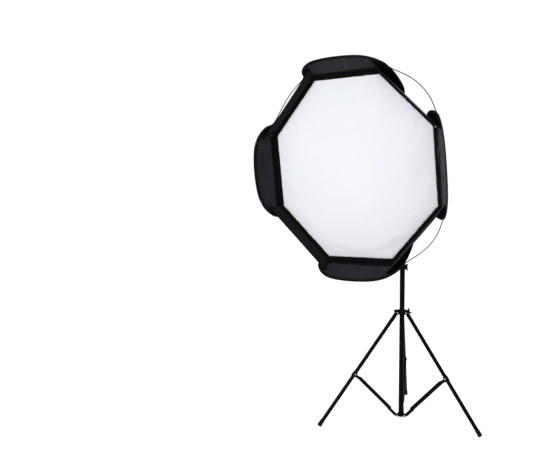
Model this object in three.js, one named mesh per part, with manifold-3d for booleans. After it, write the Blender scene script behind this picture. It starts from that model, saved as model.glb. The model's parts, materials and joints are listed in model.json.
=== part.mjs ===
// A pop-up octagonal softbox on a folding light stand.
// Millimetres, +Z up, and the softbox faces -Y. The origin is on the floor, in the middle of the space that
// the whole kit takes up.
import * as THREE from "three";
import { mergeVertices } from "three/addons/utils/BufferGeometryUtils.js";
import Module from "manifold-3d";

const wasm = await Module();
wasm.setup();
const degrees = THREE.MathUtils.degToRad;

// ---------------------------------------------------------------- driving dimensions

// Softbox: a shallow octagonal funnel. Four of its side panels are stiffened by oval spring hoops.
const DIFFUSER_APOTHEM = 400;
const PANEL_APOTHEM = 417; // where the side panels cross the diffuser's plane
const PANEL_SLOPE = degrees(50.2); // between a side panel and the diffuser's plane
const PANEL_THICKNESS = 1.5;
const PANEL_REAR = -495; // slant distances are measured forwards from the diffuser's plane
const LIP_FOOT = -6.2; // slant distance where a corner panel's upright front lip starts
const LIP_HEIGHT = 60;
const LIP_BEND = degrees(20.4); // inwards from the corner panel's slope
const OVAL_CENTRE = -67;
const OVAL_HALF_WIDTH = 230;
const OVAL_HALF_LENGTH = 179;
const OVAL_POWER = 2.75; // squareness of the oval: 2 is an ellipse
const SEAM_GAP = 3.2; // the corner panels stop this far short of the seam line
const HOOP_WIRE = 1.5; // radius
const BOW_RADIUS = 474; // of the ring hoop where it bows out between two wings
const BOW_DEPTH = -30;
const BOW_ROUNDING = 103; // how fast it comes back in, and up, on both sides of the middle of its bow
const BOW_RISE = 200;
const EIGHTH = degrees(22.5);

// Speed ring and bracket, in the head's frame: origin on the tilt pivot, -Y forwards, +Z up.
const TILT = degrees(6.65); // the softbox looks down by this much
const ROLL = degrees(1.6);
const AXIS_HEIGHT = 140; // softbox axis above the tilt pivot
const DIFFUSER_Y = -453;
const RING_DEPTH = -396; // middle of the ring holder, from the diffuser's plane
const RING_BORE = 78;
const RING_HUB = 88;
const RING_FLANGE = 96.4;
const HOLDER_OUTER = 96;
const ARM_BOTTOM = 30;
const ARM_TOP = 35;
const ARM_HALF_WIDTH = 16;
const SHOE_Y = 58;

// Light stand.
const COLUMN_Y = 104; // the column's axis, behind the origin
const PIVOT_HEIGHT = 1153;
const COLUMN = 12.5; // tube radii
const COLUMN_BORE = 11.5;
const RISER_1 = 11;
const RISER_1_BORE = 10;
const RISER_2 = 9.5;
const RISER_2_BORE = 8.5;
const SPIGOT = 7.94;
const COLUMN_FOOT = 12;
const COLUMN_TOP = 757;
const RISER_1_TOP = 1049;
const RISER_1_LENGTH = 640;
const RISER_2_TOP = 1072;
const RISER_2_LENGTH = 600;
const LEG = 9.5;
const LEG_BORE = 8.5;
const LEG_PIN_RADIUS = 28.5; // distance of the leg pins from the column's axis
const LEG_PIN_HEIGHT = 532;
const FOOT_RADIUS = 439.5;
const LEG_ANGLES = [115, 235, 355].map(degrees);
const HUB_PIN_RADIUS = 28.5;
const HUB_PIN_HEIGHT = 18.6;
const CLIP_DISTANCE = 366; // along a leg, from its pin to its clip, which the brace is riveted to
const KNOB_ANGLES = { spider: degrees(60), collar1: degrees(-30), collar2: 0 };
const UPRIGHT = degrees(90); // turns a wing screw's wings from level to upright

const GAP = 0.3; // between parts that touch or run on each other

// ---------------------------------------------------------------- materials

const material = (color, roughness, metalness) =>
  new THREE.MeshStandardMaterial({ color, roughness, metalness });
const BLACK_NYLON = material(0x17171c, 0.85, 0);
const WHITE_NYLON = material(0xeceef4, 0.7, 0);
const LOOP_TAPE = material(0x0b0b0d, 0.95, 0);
const SPRING_STEEL = material(0x4a4b4d, 0.4, 0.9);
const BLACK_TUBE = material(0x141416, 0.4, 0.6);
const BLACK_CASTING = material(0x101012, 0.55, 0.2);
const BLACK_PLASTIC = material(0x0d0d0f, 0.6, 0);
const BARE_STEEL = material(0xc9cacc, 0.3, 1);
const RUBBER = material(0x0e0e0e, 0.9, 0);

// ---------------------------------------------------------------- solids

/** A closed geometry as a manifold-3d solid with its faces pointing out. */
function solid(geometry) {
  const bare = geometry.index ? geometry.toNonIndexed() : geometry.clone();
  bare.deleteAttribute("normal");
  bare.deleteAttribute("uv");
  const merged = mergeVertices(bare, 1e-3);
  const corners = Array.from(merged.index.array);
  const triVerts = [];
  for (let i = 0; i < corners.length; i += 3) {
    const [a, b, c] = corners.slice(i, i + 3);
    if (a !== b && b !== c && c !== a) triVerts.push(a, b, c);
  }
  const vertProperties = merged.attributes.position.array;
  const make = (triangles) =>
    new wasm.Manifold(new wasm.Mesh({ numProp: 3, vertProperties, triVerts: new Uint32Array(triangles) }));
  const made = make(triVerts);
  return made.volume() > 0 ? made : make(triVerts.reverse());
}

/** A solid's surface as a three.js geometry. */
function surface(body) {
  const { numProp, vertProperties, triVerts } = body.getMesh();
  const geometry = new THREE.BufferGeometry();
  const positions = new THREE.InterleavedBuffer(vertProperties, numProp);
  geometry.setAttribute("position", new THREE.InterleavedBufferAttribute(positions, 3, 0));
  geometry.setIndex(new THREE.BufferAttribute(triVerts, 1));
  return geometry.toNonIndexed();
}

const join = (first, ...others) => others.reduce((sum, other) => sum.add(other), first);
const cut = (first, ...others) => others.reduce((rest, other) => rest.subtract(other), first);

/** A round bar along +Z. */
function rod(radius, bottom, top, sides = 16) {
  const geometry = new THREE.CylinderGeometry(radius, radius, top - bottom, sides);
  geometry.rotateX(Math.PI / 2).translate(0, 0, (top + bottom) / 2);
  return solid(geometry);
}

/** A solid turned about Z from a closed outline of [radius, height] points. */
function turned(outline, sides = 16) {
  const points = [...outline, outline[0]].map(([r, z]) => new THREE.Vector2(r, z));
  return solid(new THREE.LatheGeometry(points, sides).rotateX(Math.PI / 2));
}

/** A round tube along +Z. */
function pipe(outer, bore, bottom, top, sides = 24) {
  return turned([[bore, bottom], [outer, bottom], [outer, top], [bore, top]], sides);
}

function block([x0, x1], [y0, y1], [z0, z1]) {
  const geometry = new THREE.BoxGeometry(x1 - x0, y1 - y0, z1 - z0);
  return solid(geometry.translate((x0 + x1) / 2, (y0 + y1) / 2, (z0 + z1) / 2));
}

/** A flat plate in the XY plane, centred on z = 0. */
function plate(points, thickness) {
  const shape = new THREE.Shape(points.map(([x, y]) => new THREE.Vector2(x, y)));
  const geometry = new THREE.ExtrudeGeometry(shape, { depth: thickness, bevelEnabled: false });
  return solid(geometry.translate(0, 0, -thickness / 2));
}

/** A round wire along a closed curve. */
const closedWire = (curve, segments) => solid(new THREE.TubeGeometry(curve, segments, HOOP_WIRE, 5, true));

/** Turns a solid built along +Z so that it runs along +X. */
const alongX = (body) => body.rotate([0, 90, 0]);
/** Turns a solid built along +Z so that it runs along +Y. */
const alongY = (body) => body.rotate([-90, 0, 0]);

/** A rivet along Y with a head at each end; reach is half the distance between its heads. */
function rivet(radius, head, reach) {
  const tip = reach + head / 2;
  const outline = [[0, -tip], [head, -tip], [head, -reach], [radius, -reach]];
  return alongY(turned([...outline, [radius, reach], [head, reach], [head, tip], [0, tip]], 10));
}

/** A wing screw along +X: its tip at x = 0, its wings past the boss that it is screwed into. */
function wingScrew(boss) {
  const shaft = alongX(rod(3, 0, boss + 2, 8));
  const hub = alongX(rod(6.5, boss, boss + 13, 12));
  const wing = new THREE.Shape();
  wing.moveTo(0, 0);
  wing.lineTo(10, 0);
  wing.lineTo(16, 8);
  wing.absarc(17, 12, 4.2, degrees(-60), degrees(130), false);
  wing.lineTo(0, 5);
  const blade = new THREE.ExtrudeGeometry(wing, { depth: 4.4, bevelEnabled: false, curveSegments: 4 });
  const upper = solid(blade.translate(boss + 1, 0, -2.2));
  return join(shaft, hub, upper, upper.rotate([180, 0, 0]));
}

// ---------------------------------------------------------------- the scene graph

const softboxKit = new THREE.Group();

/** A child frame at a place, turned by the three Euler angles. */
function frame(parent, position = [0, 0, 0], rotation = [0, 0, 0]) {
  const group = new THREE.Group();
  group.position.set(...position);
  group.rotation.set(...rotation);
  parent.add(group);
  return group;
}

function piece(name, body, finish, parent) {
  const mesh = new THREE.Mesh(surface(body), finish);
  mesh.name = name;
  parent.add(mesh);
}

// ---------------------------------------------------------------- stand: column and risers

/** A clamp collar on a tube's top: it grips the tube below and guides the thinner one above. */
function clampCollar(tube, riser, tubeTop) {
  const bottom = tubeTop - 12;
  const top = tubeTop + 15;
  const sleeve = turned([
    [tube + GAP, bottom],
    [tube + 3, bottom],
    [tube + 4.5, bottom + 3],
    [tube + 4.5, top - 4],
    [tube + 3, top],
    [riser + GAP, top],
    [riser + GAP, tubeTop + GAP],
    [tube + GAP, tubeTop + GAP],
  ]);
  const boss = alongX(rod(7.5, tube + 2, tube + 13, 12)).translate([0, 0, tubeTop + 4]);
  const throughHole = alongX(rod(3 + GAP, 0, tube + 14, 8)).translate([0, 0, tubeTop + 4]);
  const riserBore = rod(riser + GAP, tubeTop - 5, top + 1);
  const tubeBore = rod(tube + GAP, bottom, tubeTop + GAP);
  return cut(join(sleeve, boss), riserBore, tubeBore, throughHole);
}

/** The wing screw of a clamp collar, whose tip stops just short of the riser. */
const collarScrew = (tube, riser) => wingScrew(tube + 13 + GAP - riser - 1).translate([riser + 1, 0, 0]);

function buildColumn(parent) {
  piece("main_tube", pipe(COLUMN, COLUMN_BORE, COLUMN_FOOT, COLUMN_TOP), BLACK_TUBE, parent);
  const riser1 = pipe(RISER_1, RISER_1_BORE, RISER_1_TOP - RISER_1_LENGTH, RISER_1_TOP);
  const riser2 = pipe(RISER_2, RISER_2_BORE, RISER_2_TOP - RISER_2_LENGTH, RISER_2_TOP);
  piece("riser_1", riser1, BLACK_TUBE, parent);
  piece("riser_2", riser2, BLACK_TUBE, parent);
  const collar1 = frame(parent, [0, 0, 0], [0, 0, KNOB_ANGLES.collar1]);
  const collar2 = frame(parent, [0, 0, 0], [0, 0, KNOB_ANGLES.collar2]);
  piece("collar_1", clampCollar(COLUMN, RISER_1, COLUMN_TOP), BLACK_PLASTIC, collar1);
  piece("collar_2", clampCollar(RISER_1, RISER_2, RISER_1_TOP), BLACK_PLASTIC, collar2);
  const screw1 = frame(collar1, [0, 0, COLUMN_TOP + 4], [UPRIGHT, 0, 0]);
  const screw2 = frame(collar2, [0, 0, RISER_1_TOP + 4]);
  piece("collar_1_knob", collarScrew(COLUMN, RISER_1), BLACK_PLASTIC, screw1);
  piece("collar_2_knob", collarScrew(RISER_1, RISER_2), BLACK_PLASTIC, screw2);
  piece("spigot", spigot(), BARE_STEEL, parent);
}

/** The 5/8 inch stud, plugged into the top riser. */
function spigot() {
  const shoulder = RISER_2_TOP + GAP;
  const groove = SPIGOT - 1.2;
  return turned([
    [0, RISER_2_TOP - 30],
    [RISER_2_BORE - GAP, RISER_2_TOP - 30],
    [RISER_2_BORE - GAP, shoulder],
    [RISER_2, shoulder],
    [RISER_2, shoulder + 3],
    [SPIGOT, shoulder + 3],
    [SPIGOT, shoulder + 19],
    [groove, shoulder + 21],
    [groove, shoulder + 31],
    [SPIGOT, shoulder + 33],
    [SPIGOT, shoulder + 40],
    [SPIGOT - 1.5, shoulder + 42],
    [0, shoulder + 42],
  ]);
}

// ---------------------------------------------------------------- stand: spider, hub and legs

const LUG_HALF_WIDTH = 10.9;
const FLANGE_OUTER = 12.4;
const TONGUE_HALF = 3;
const SPIDER_BOSS = COLUMN + 15; // the outer face of the boss for its wing screw

/** The sliding bracket that the three legs hang from: a sleeve with three pairs of ears. */
function spider() {
  const outer = COLUMN + 5.5;
  const flare = [[outer - 1, -10], [outer, -6], [outer, 10], [outer - 1.5, 15]];
  let body = turned([[COLUMN + GAP, -10], ...flare, [COLUMN + GAP, 15]]);
  for (const angle of LEG_ANGLES) {
    for (const side of [-1, 1]) {
      const faces = [side * (TONGUE_HALF + 0.4), side * (TONGUE_HALF + 4)];
      const span = [Math.min(...faces), Math.max(...faces)];
      const web = block([10, LEG_PIN_RADIUS], span, [-9, 15]);
      const nose = alongY(rod(LEG, ...span)).translate([LEG_PIN_RADIUS, 0, 0]);
      const nib = block([LEG_PIN_RADIUS, LEG_PIN_RADIUS + 12], span, [2, 15]);
      body = body.add(join(web, nose, nib).rotate([0, 0, THREE.MathUtils.radToDeg(angle)]));
    }
  }
  const turn = [0, 0, THREE.MathUtils.radToDeg(KNOB_ANGLES.spider)];
  const boss = alongX(rod(7.5, COLUMN + 1, SPIDER_BOSS, 12)).translate([0, 0, 4]).rotate(turn);
  const hole = alongX(rod(3 + GAP, 0, SPIDER_BOSS + 1, 8)).translate([0, 0, 4]).rotate(turn);
  const pins = LEG_ANGLES.map((angle) => pinHole(LEG_PIN_RADIUS, 12, angle));
  return cut(join(body, boss), rod(COLUMN + GAP, -11, 19), hole, ...pins);
}

/** A tangential hole for a rivet at one leg's angle. */
const pinHole = (radius, halfLength, angle) =>
  alongY(rod(2.5 + GAP, -halfLength, halfLength, 10))
    .translate([radius, 0, 0])
    .rotate([0, 0, THREE.MathUtils.radToDeg(angle)]);

/** The bracket on the column's foot that the three braces are riveted to. */
function hub() {
  const socket = [[COLUMN + GAP, 9], [COLUMN + GAP, -6.9], [0, -6.9]];
  const outer = COLUMN + 2.2;
  let body = turned([[0, -9], [COLUMN, -9], [outer, -6], [outer, 9], ...socket]);
  for (const angle of LEG_ANGLES) {
    const lug = join(
      block([10, HUB_PIN_RADIUS], [-LUG_HALF_WIDTH, LUG_HALF_WIDTH], [-5, 5]),
      alongY(rod(5, -LUG_HALF_WIDTH, LUG_HALF_WIDTH)).translate([HUB_PIN_RADIUS, 0, 0]),
    );
    body = body.add(lug.rotate([0, 0, THREE.MathUtils.radToDeg(angle)]));
  }
  const pins = LEG_ANGLES.map((angle) => pinHole(HUB_PIN_RADIUS, 12, angle));
  return cut(body, rod(COLUMN + GAP, COLUMN_FOOT - HUB_PIN_HEIGHT - GAP, 10), ...pins);
}

/** A leg in its own frame: the pin at the origin, the tube down -Z, the column towards -X. */
function leg(length) {
  const tube = pipe(LEG, LEG_BORE, -length, -52, 16);
  const grip = LEG_BORE + 0.2;
  const plug = turned([[0, -70], [grip, -70], [grip, -60], [LEG, -52], [LEG, -50], [4, -42], [0, -42]]);
  const tongue = join(
    block([-LEG, LEG], [-TONGUE_HALF, TONGUE_HALF], [-54, 0]),
    alongY(rod(LEG, -TONGUE_HALF, TONGUE_HALF)),
  );
  const clipHole = alongY(rod(2 + GAP, -10, 10, 10)).translate([0, 0, -CLIP_DISTANCE]);
  return cut(join(tube, plug, tongue), alongY(rod(2.5 + GAP, -5, 5, 10)), clipHole);
}

/** The sleeve on a leg where the brace is riveted on, flat on both sides. */
function legClip() {
  const cheeks = block([-20, 20], [-LUG_HALF_WIDTH, LUG_HALF_WIDTH], [-20, 20]);
  const sleeve = rod(LEG + 2.4, -13, 13).intersect(cheeks);
  return cut(sleeve, rod(LEG + GAP / 2, -14, 14), alongY(rod(2 + GAP, -12, 12, 10)));
}

const SOLE = 6;

/** A rubber cap over a leg's end; the floor plane trims its sole flat. */
function footCap(length, lean) {
  const end = -length - SOLE;
  const cap = turned([
    [0, end],
    [LEG + 0.8, end],
    [LEG + 1.3, end + 2],
    [LEG + 1.3, end + 30],
    [LEG + 0.8, end + 32],
    [LEG + GAP / 2, end + 32],
    [LEG + GAP / 2, -length - GAP],
    [0, -length - GAP],
  ]);
  const ground = block([-900, 900], [-50, 50], [-900, -LEG_PIN_HEIGHT]);
  return cut(cap, ground.rotate([0, THREE.MathUtils.radToDeg(lean), 0]));
}

/** A U-section brace along +Z from its hub pin; its web faces the column, on the -X side. */
function brace(length) {
  const inner = LUG_HALF_WIDTH + GAP;
  const pins = [0, length];
  const deep = [52, length - 34];
  const back = -LEG - 2.1;
  const web = block([back, back + 1.3], [-FLANGE_OUTER, FLANGE_OUTER], deep);
  const flanges = [-1, 1].map((side) => {
    const [near, far] = side > 0 ? [inner, FLANGE_OUTER] : [-FLANGE_OUTER, -inner];
    const ends = pins.map((z) => alongY(rod(6, near, far)).translate([0, 0, z]));
    const straps = [[0, deep[0] + 1], [deep[1] - 1, length]].map((span) => block([-6, 6], [near, far], span));
    return join(...straps, block([back, 4], [near, far], deep), ...ends);
  });
  const hubHoles = alongY(rod(2.5 + GAP, -FLANGE_OUTER - 1, FLANGE_OUTER + 1, 10));
  const headHole = alongY(rod(2 + GAP, 0, FLANGE_OUTER + 1, 10)).translate([0, 0, length]);
  const peenedEnd = alongY(rod(4, -FLANGE_OUTER - 1.6, -FLANGE_OUTER + 0.5, 10)).translate([0, 0, length]);
  return join(cut(join(web, ...flanges), hubHoles, headHole), peenedEnd);
}

/** The headed half of the rivet through a leg clip, as long as the brace's flange is thick. */
function braceRivet() {
  const face = FLANGE_OUTER + GAP;
  const shank = [[0, LUG_HALF_WIDTH + GAP], [2, LUG_HALF_WIDTH + GAP], [2, face]];
  return alongY(turned([...shank, [4.5, face], [4.5, face + 1.6], [2.5, face + 2.6], [0, face + 2.6]], 10));
}

function buildLegs(parent) {
  const lean = Math.atan2(FOOT_RADIUS - LEG_PIN_RADIUS, LEG_PIN_HEIGHT);
  const length = Math.hypot(FOOT_RADIUS - LEG_PIN_RADIUS, LEG_PIN_HEIGHT) - 10;
  const pinX = LEG_PIN_RADIUS + CLIP_DISTANCE * Math.sin(lean) - HUB_PIN_RADIUS;
  const pinZ = LEG_PIN_HEIGHT - CLIP_DISTANCE * Math.cos(lean) - HUB_PIN_HEIGHT;
  const braceLean = Math.atan2(pinX, pinZ);
  LEG_ANGLES.forEach((angle, i) => {
    const n = i + 1;
    const spoke = frame(parent, [0, 0, 0], [0, 0, angle]);
    const hip = frame(spoke, [LEG_PIN_RADIUS, 0, LEG_PIN_HEIGHT], [0, -lean, 0]);
    piece(`leg_${n}`, leg(length), BLACK_TUBE, hip);
    piece(`leg_pin_${n}`, rivet(2.5, 4.5, TONGUE_HALF + 4 + GAP), BARE_STEEL, hip);
    piece(`foot_cap_${n}`, footCap(length, lean), RUBBER, hip);
    piece(`leg_clip_${n}`, legClip(), BLACK_PLASTIC, frame(hip, [0, 0, -CLIP_DISTANCE]));
    const ankle = frame(spoke, [HUB_PIN_RADIUS, 0, HUB_PIN_HEIGHT], [0, braceLean, 0]);
    const braceLength = Math.hypot(pinX, pinZ);
    piece(`brace_${n}`, brace(braceLength), BLACK_TUBE, ankle);
    piece(`brace_pin_${n}`, braceRivet(), BARE_STEEL, frame(ankle, [0, 0, braceLength]));
    piece(`hub_pin_${n}`, rivet(2.5, 4.5, FLANGE_OUTER + GAP), BARE_STEEL, ankle);
  });
  piece("spider", spider(), BLACK_CASTING, frame(parent, [0, 0, LEG_PIN_HEIGHT]));
  piece("hub", hub(), BLACK_CASTING, frame(parent, [0, 0, HUB_PIN_HEIGHT]));
  const knobSide = frame(parent, [0, 0, LEG_PIN_HEIGHT + 4], [0, 0, KNOB_ANGLES.spider]);
  const screw = frame(knobSide, [0, 0, 0], [UPRIGHT / 2, 0, 0]);
  const spiderScrew = wingScrew(SPIDER_BOSS + GAP - COLUMN - 1).translate([COLUMN + 1, 0, 0]);
  piece("spider_knob", spiderScrew, BLACK_PLASTIC, screw);
}

// ---------------------------------------------------------------- head: swivel, tilt, arm and shoe

/** The socket on the spigot, with the two ears of the tilt hinge above it. */
function swivelSocket() {
  const barrel = turned([[8.3, -76], [14.5, -76], [16, -73], [16, -22], [0, -22], [0, -33], [8.3, -33]]);
  const ears = [-1, 1].map((side) => {
    const [near, far] = side > 0 ? [8.4, 14.4] : [-14.4, -8.4];
    return join(block([near, far], [-13, 13], [-24, 0]), alongX(rod(13, near, far)));
  });
  const boss = alongX(rod(7.5, 13, 24, 12)).translate([0, 0, -54]);
  const screwHole = alongX(rod(3 + GAP, 0, 25, 8)).translate([0, 0, -54]);
  const pinBore = alongX(rod(5 + GAP, -16, 16));
  return cut(join(barrel, ...ears, boss), pinBore, screwHole, rod(8.3, -77, -33));
}

/** The tilt hinge's bolt: head on +X, its threaded end inside the lever's hub on -X. */
const tiltBolt = () => alongX(join(rod(5, -25, 16), rod(9, 14.7, 20, 6)));

/** The tilt lock: a hub on the bolt's end with a lever that points backwards and down. */
function tiltLever() {
  const knob = alongX(rod(9.5, -28, -14.7));
  const handle = new THREE.Shape();
  handle.moveTo(0, -6);
  handle.lineTo(44, -4);
  handle.absarc(48, 0, 5.5, degrees(-90), degrees(90), false);
  handle.lineTo(0, 6);
  const blade = new THREE.ExtrudeGeometry(handle, { depth: 7, bevelEnabled: false, curveSegments: 8 });
  blade.rotateZ(Math.PI / 2).rotateY(-Math.PI / 2).rotateX(degrees(-55)).translate(-20, 0, 0);
  return cut(join(knob, solid(blade)), alongX(rod(5 + GAP, -26, -14)));
}

/** The flat arm with its slot for the shoe, and the hinge tongue under it. */
function bracketArm() {
  const bar = block([-ARM_HALF_WIDTH, ARM_HALF_WIDTH], [-66, 110], [ARM_BOTTOM, ARM_TOP]);
  const end = rod(ARM_HALF_WIDTH, ARM_BOTTOM, ARM_TOP).translate([0, 110, 0]);
  const slot = block([-4, 4], [28, 100], [ARM_BOTTOM - 1, ARM_TOP + 1]);
  const slotEnds = [28, 100].map((y) => rod(4, ARM_BOTTOM - 1, ARM_TOP + 1, 12).translate([0, y, 0]));
  const tongue = join(block([-8, 8], [-13, 13], [0, ARM_BOTTOM + 1]), alongX(rod(13, -8, 8)));
  return cut(join(bar, end, tongue), slot, ...slotEnds, alongX(rod(5 + GAP, -9, 9)));
}

/** The clamp that the speed ring turns in, standing on the arm. */
function ringHolder() {
  const y = DIFFUSER_Y - RING_DEPTH;
  const ring = alongY(pipe(HOLDER_OUTER, RING_HUB + 0.8, -6, 6, 32)).translate([0, y, AXIS_HEIGHT]);
  const halfFoot = ARM_HALF_WIDTH;
  const foot = block([-halfFoot, halfFoot], [y - 6, y + 6], [ARM_TOP + GAP, AXIS_HEIGHT - RING_HUB - 2.5]);
  const boss = alongX(rod(6, RING_HUB + 3, HOLDER_OUTER + 10, 12)).translate([0, y, AXIS_HEIGHT]);
  const hole = alongX(rod(3 + GAP, RING_HUB - 2, HOLDER_OUTER + 11, 8)).translate([0, y, AXIS_HEIGHT]);
  return cut(join(ring, foot, boss), hole);
}

/** The slider on the arm, with a threaded stem down through the slot. */
function shoeCarriage() {
  const pad = block([-13, 13], [-18, 18], [ARM_TOP + GAP, ARM_TOP + 4.3]);
  return join(pad, block([-3.4, 3.4], [-6, 6], [ARM_BOTTOM, ARM_TOP + 1]), rod(3, 17, ARM_TOP, 10));
}

/** The flash shoe: a channel with inturned lips, 18.7 mm wide inside. */
function coldShoe() {
  const base = ARM_TOP + 4.3 + GAP;
  const profile = [
    [-12, 0], [12, 0], [12, 5.2], [6.3, 5.2], [6.3, 3.7], [9.35, 3.7], [9.35, 1.6],
    [-9.35, 1.6], [-9.35, 3.7], [-6.3, 3.7], [-6.3, 5.2], [-12, 5.2],
  ];
  const channel = plate(profile, 22).rotate([90, 0, 0]).translate([0, 0, base]);
  return join(channel, block([-9.35, 9.35], [-11, -9.6], [base + 1, base + 3.7]));
}

/** The knurled wheel that locks the slider from below. */
function shoeWheel() {
  let wheel = turned([[3 + GAP, 18.5], [11, 18.5], [12, 20], [12, 28], [11, 29.5], [3 + GAP, 29.5]]);
  const grooves = 8;
  for (let i = 0; i < grooves; i++) {
    const angle = (2 * Math.PI * i) / grooves;
    const groove = rod(1.2, 17, 31, 6).translate([12.3 * Math.cos(angle), 12.3 * Math.sin(angle), 0]);
    wheel = wheel.subtract(groove);
  }
  return wheel;
}

function buildHead(parent) {
  const swivel = frame(parent, [0, 0, PIVOT_HEIGHT]);
  piece("swivel_socket", swivelSocket(), BLACK_CASTING, swivel);
  piece("tilt_bolt", tiltBolt(), BARE_STEEL, swivel);
  piece("tilt_lever", tiltLever(), BLACK_PLASTIC, swivel);
  const screw = frame(swivel, [0, 0, -54]);
  piece("socket_knob", wingScrew(24 + GAP - SPIGOT - 1).translate([SPIGOT + 1, 0, 0]), BLACK_PLASTIC, screw);
  const head = frame(swivel, [0, 0, 0], [TILT, 0, 0]);
  piece("bracket_arm", bracketArm(), BLACK_CASTING, head);
  piece("ring_holder", ringHolder(), BLACK_CASTING, head);
  const ringScrew = frame(head, [RING_HUB + 1, DIFFUSER_Y - RING_DEPTH, AXIS_HEIGHT]);
  piece("ring_knob", wingScrew(HOLDER_OUTER + 10 + GAP - RING_HUB - 1), BLACK_PLASTIC, ringScrew);
  const shoe = frame(head, [0, SHOE_Y, 0]);
  piece("shoe_carriage", shoeCarriage(), BLACK_PLASTIC, shoe);
  piece("cold_shoe", coldShoe(), BARE_STEEL, shoe);
  piece("shoe_wheel", shoeWheel(), BLACK_PLASTIC, shoe);
  return frame(head, [0, DIFFUSER_Y, AXIS_HEIGHT], [Math.PI / 2, 0, 0]);
}

// ---------------------------------------------------------------- softbox
// In the softbox's frame +Z is forwards and z = 0 is the diffuser's plane. In a panel's frame x runs
// across the panel, y runs along its slant, forwards, and z is its outward normal.

/** Half the width of an octagon's side panel at a slant distance. */
const seamHalfWidth = (slant) => (PANEL_APOTHEM + slant * Math.cos(PANEL_SLOPE)) * Math.tan(EIGHTH);

/** A point of the oval that is offset outwards by grow; angle 90 degrees is its front. */
function ovalPoint(angle, grow) {
  const ease = (value) => Math.sign(value) * Math.abs(value) ** (2 / OVAL_POWER);
  const across = (OVAL_HALF_WIDTH + grow) * ease(Math.cos(angle));
  return [across, OVAL_CENTRE + (OVAL_HALF_LENGTH + grow) * ease(Math.sin(angle))];
}

/** The frame of one side panel of the octagonal funnel. */
function panelFrame(parent, angle) {
  const spoke = frame(parent, [0, 0, 0], [0, 0, angle]);
  const slope = frame(spoke, [PANEL_APOTHEM, 0, 0]);
  const across = new THREE.Vector3(0, 1, 0);
  const slant = new THREE.Vector3(Math.cos(PANEL_SLOPE), 0, Math.sin(PANEL_SLOPE));
  const normal = new THREE.Vector3().crossVectors(across, slant);
  slope.quaternion.setFromRotationMatrix(new THREE.Matrix4().makeBasis(across, slant, normal));
  return slope;
}

/** A wide panel: it follows the seams forwards from the ring, then the inside of its oval hoop. */
function sidePanel() {
  const inside = -7;
  const right = [];
  for (let degree = -84; degree <= 90; degree += 6) {
    const point = ovalPoint(degrees(degree), inside);
    if (point[1] > OVAL_CENTRE || point[0] > seamHalfWidth(point[1])) right.push(point);
  }
  const rear = [seamHalfWidth(PANEL_REAR), PANEL_REAR];
  const outline = [rear, ...right, ...right.slice(0, -1).reverse().concat([rear]).map(([x, y]) => [-x, y])];
  return plate(outline, PANEL_THICKNESS);
}

/** A narrow panel between two wide ones, with an upright lip that spreads to meet their wings. */
function cornerPanel() {
  const rear = seamHalfWidth(PANEL_REAR) - SEAM_GAP;
  const front = seamHalfWidth(LIP_FOOT) - SEAM_GAP;
  const spread = front + 0.77 * LIP_HEIGHT;
  const strip = ([low, y0], [high, y1]) =>
    plate([[-low, y0], [low, y0], [high, y1], [-high, y1]], PANEL_THICKNESS);
  const sheet = strip([rear, PANEL_REAR], [front, LIP_FOOT + 0.5]);
  const lip = strip([front, 0], [spread, LIP_HEIGHT]).rotate([-THREE.MathUtils.radToDeg(LIP_BEND), 0, 0]);
  return join(sheet, lip.translate([0, LIP_FOOT, 0]));
}

/** The spring hoop of a wide panel, on the panel's outer face. */
function panelHoop() {
  const points = [];
  for (let degree = 0; degree < 360; degree += 10) {
    const [x, y] = ovalPoint(degrees(degree), -3);
    points.push(new THREE.Vector3(x, y, PANEL_THICKNESS / 2 + HOOP_WIRE + GAP));
  }
  return closedWire(new THREE.CatmullRomCurve3(points, true), 36);
}

/** A panel-frame point of the panel at an angle, in the softbox's frame. */
function onPanel(angle, [x, y]) {
  const out = PANEL_APOTHEM + y * Math.cos(PANEL_SLOPE);
  const point = new THREE.Vector3(out, x, y * Math.sin(PANEL_SLOPE));
  return point.applyAxisAngle(new THREE.Vector3(0, 0, 1), angle);
}

/** The long spring hoop: along the front rim of each oval, then bowed out behind the next corner. */
function ringHoop() {
  const points = [];
  for (let side = 0; side < 4; side++) {
    const angle = degrees(90 * side);
    for (const degree of [165, 150, 130, 110, 90, 70, 50, 30, 15]) {
      const [x, y] = ovalPoint(degrees(degree), 2);
      points.push(onPanel(angle, [x, y]));
    }
    for (const off of [-8, 0, 8]) {
      const turn = angle + degrees(45 + off);
      const radius = BOW_RADIUS - BOW_ROUNDING * degrees(off) ** 2;
      const depth = BOW_DEPTH + BOW_RISE * degrees(off) ** 2;
      points.push(new THREE.Vector3(radius * Math.cos(turn), radius * Math.sin(turn), depth));
    }
  }
  return closedWire(new THREE.CatmullRomCurve3(points, true), 96);
}

/** An octagonal sheet with flats facing the side panels. */
const octagon = (apothem, thickness) =>
  rod(apothem / Math.cos(EIGHTH), -thickness / 2, thickness / 2, 8).rotate([0, 0, 22.5]);

/** The black hook-and-loop border that holds the diffuser to the side panels. */
function diffuserBorder() {
  const outline = [[401, -0.6], [416, 6.4], [416, 7.9], [401, 0.9]];
  return turned(outline.map(([apothem, z]) => [apothem / Math.cos(EIGHTH), z]), 8).rotate([0, 0, 22.5]);
}

/** The inner diffuser, hung from the corner panels by four elastic tabs. */
function innerDiffuser() {
  const apothem = 235;
  const reach = 288;
  const tabs = [45, 135, 225, 315].map((turn) =>
    block([apothem - 10, reach], [-10, 10], [-0.5, 0.5]).rotate([0, 0, turn]),
  );
  return join(octagon(apothem, 1), ...tabs);
}

/** The ring that the softbox is fixed to: a hub that turns in its holder and a flange in front. */
function speedRing() {
  const back = RING_DEPTH - 8;
  const step = RING_DEPTH + 7;
  const front = RING_DEPTH + 17;
  const hub = [[RING_BORE, back], [RING_HUB, back], [RING_HUB, step]];
  return turned([...hub, [RING_FLANGE, step], [RING_FLANGE, front], [RING_BORE, front]], 32);
}

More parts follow.
